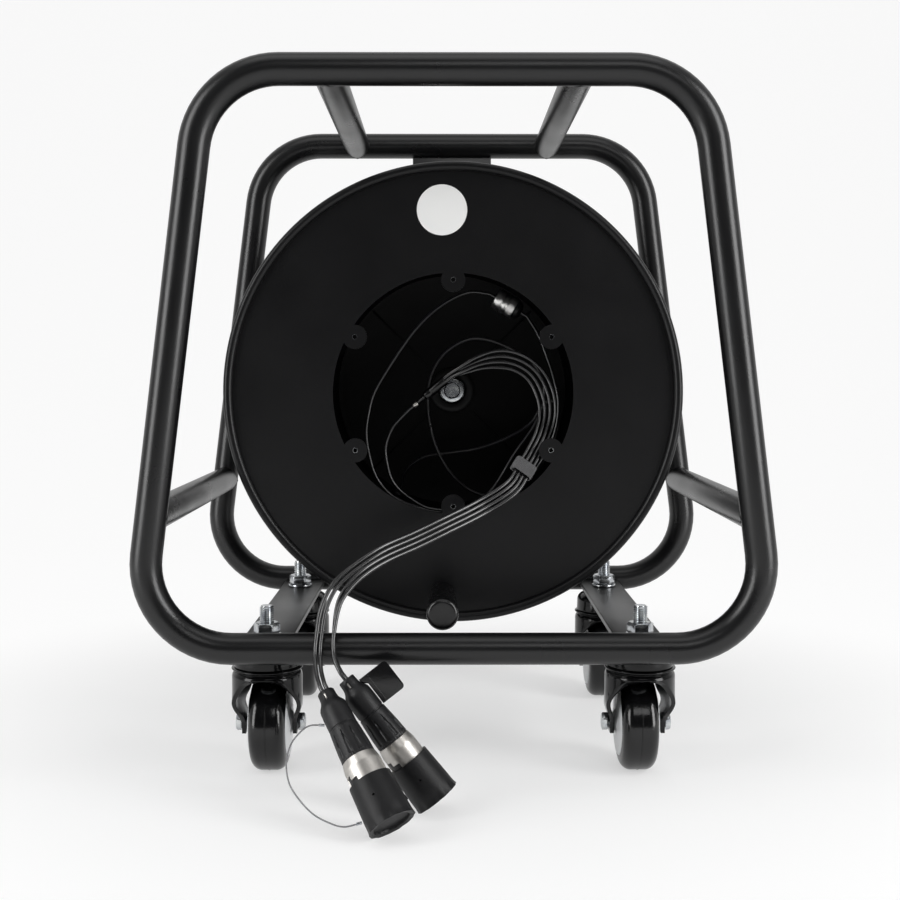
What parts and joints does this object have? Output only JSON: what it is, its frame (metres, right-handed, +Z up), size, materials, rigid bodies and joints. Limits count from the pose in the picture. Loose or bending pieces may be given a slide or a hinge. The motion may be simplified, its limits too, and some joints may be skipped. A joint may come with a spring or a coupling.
{
  "type": "portable cable drum on a wheeled frame",
  "caption": "Steel cable drum turning on a wheeled frame of bent tube, wound with fibre-optic cable whose end splits into two capped connectors.",
  "frame": {"origin": "on the floor, midway between the two rings and midway between the wheels' swivels", "axes": "+X to the viewer's right, +Y from the drum's open front to its rear along the axle, +Z up"},
  "size_m": [0.5038, 0.4698, 0.5761],
  "materials": {
    "black_powder": "satin black powder coat",
    "black_gloss": "gloss black lacquer on pressed steel",
    "zinc": "bright zinc plate",
    "nickel": "bright nickel plate",
    "bronze": "oiled sintered bronze",
    "wheel_tread": "smooth black rubber tread on a light grey centre",
    "black_rubber": "matt moulded rubber",
    "black_plastic": "half-gloss black plastic",
    "cable_jacket": "matt black jacket",
    "leg_jacket": "ribbed dark grey jacket with a soft shine",
    "grey_strap": "woven grey strap",
    "steel_wire": "stranded steel wire"
  },
  "bodies": {
    "frame": {"front_ring": "black_powder", "rear_ring": "black_powder", "top_cross_tube_left": "black_powder", "top_cross_tube_right": "black_powder", "side_cross_tube_left": "black_powder", "side_cross_tube_right": "black_powder", "caster_bar_left": "black_powder", "caster_bar_right": "black_powder", "bearing_plate": "black_powder", "axle_bolt": "zinc", "hub_nut": "zinc", "caster_stem_front_left": "zinc", "caster_stem_front_right": "zinc", "caster_stem_rear_left": "zinc", "caster_stem_rear_right": "zinc", "inner_cable_a": "cable_jacket", "inner_cable_b": "cable_jacket", "coupler_shell": "nickel", "coupler_seal": "black_rubber", "leg_splitter": "black_rubber", "splitter_ferrule": "nickel", "fibre_leg_left_1": "leg_jacket", "fibre_leg_left_2": "leg_jacket", "fibre_leg_right_1": "leg_jacket", "fibre_leg_right_2": "leg_jacket", "hook_loop_tie": "grey_strap", "connector_boot_left": "black_rubber", "connector_boot_right": "black_rubber", "coupling_ring_left": "nickel", "coupling_ring_right": "nickel", "dust_cap_left": "black_rubber", "dust_cap_right": "black_rubber", "tether_left": "steel_wire", "tether_right": "steel_wire", "cable_tag": "black_plastic"},
    "drum": {"front_flange": "black_powder", "barrel": "black_powder", "rear_flange": "black_powder", "drum_hub": "zinc", "hub_bushing": "bronze", "winding_core": "cable_jacket", "cable_winding": "cable_jacket", "cable_grommet": "black_rubber", "far_end_sleeve": "black_plastic", "far_end_cap": "black_rubber", "knob_pin": "zinc"},
    "knob": {"crank_knob": "black_rubber"},
    "swivel_front_left": {"caster_fork_front_left": "black_gloss", "caster_axle_bolt_front_left": "zinc"},
    "swivel_front_right": {"caster_fork_front_right": "black_gloss", "caster_axle_bolt_front_right": "zinc"},
    "swivel_rear_left": {"caster_fork_rear_left": "black_gloss", "caster_axle_bolt_rear_left": "zinc"},
    "swivel_rear_right": {"caster_fork_rear_right": "black_gloss", "caster_axle_bolt_rear_right": "zinc"},
    "wheel_front_left": {"caster_wheel_front_left": "wheel_tread"},
    "wheel_front_right": {"caster_wheel_front_right": "wheel_tread"},
    "wheel_rear_left": {"caster_wheel_rear_left": "wheel_tread"},
    "wheel_rear_right": {"caster_wheel_rear_right": "wheel_tread"}
  },
  "joints": [
    {"name": "drum_turn", "type": "hinge", "parent": "frame", "child": "drum", "pos_m": [0, 0, 0.3145], "axis": [0, 1, 0], "continuous": true},
    {"name": "knob_turn", "type": "hinge", "parent": "drum", "child": "knob", "pos_m": [-0.00911, -0.106, 0.14074], "axis": [0, 1, 0], "continuous": true},
    {"name": "swivel_turn_front_left", "type": "hinge", "parent": "frame", "child": "swivel_front_left", "pos_m": [-0.1535, -0.121, 0.09], "axis": [0, 0, 1], "continuous": true},
    {"name": "swivel_turn_front_right", "type": "hinge", "parent": "frame", "child": "swivel_front_right", "pos_m": [0.1535, -0.121, 0.09], "axis": [0, 0, 1], "continuous": true},
    {"name": "swivel_turn_rear_left", "type": "hinge", "parent": "frame", "child": "swivel_rear_left", "pos_m": [-0.1535, 0.121, 0.09], "axis": [0, 0, 1], "continuous": true},
    {"name": "swivel_turn_rear_right", "type": "hinge", "parent": "frame", "child": "swivel_rear_right", "pos_m": [0.1535, 0.121, 0.09], "axis": [0, 0, 1], "continuous": true},
    {"name": "wheel_roll_front_left", "type": "hinge", "parent": "swivel_front_left", "child": "wheel_front_left", "pos_m": [-0.1535, -0.101, 0.04], "axis": [1, 0, 0], "continuous": true},
    {"name": "wheel_roll_front_right", "type": "hinge", "parent": "swivel_front_right", "child": "wheel_front_right", "pos_m": [0.1535, -0.101, 0.04], "axis": [1, 0, 0], "continuous": true},
    {"name": "wheel_roll_rear_left", "type": "hinge", "parent": "swivel_rear_left", "child": "wheel_rear_left", "pos_m": [-0.1535, 0.141, 0.04], "axis": [1, 0, 0], "continuous": true},
    {"name": "wheel_roll_rear_right", "type": "hinge", "parent": "swivel_rear_right", "child": "wheel_rear_right", "pos_m": [0.1535, 0.141, 0.04], "axis": [1, 0, 0], "continuous": true}
  ]
}
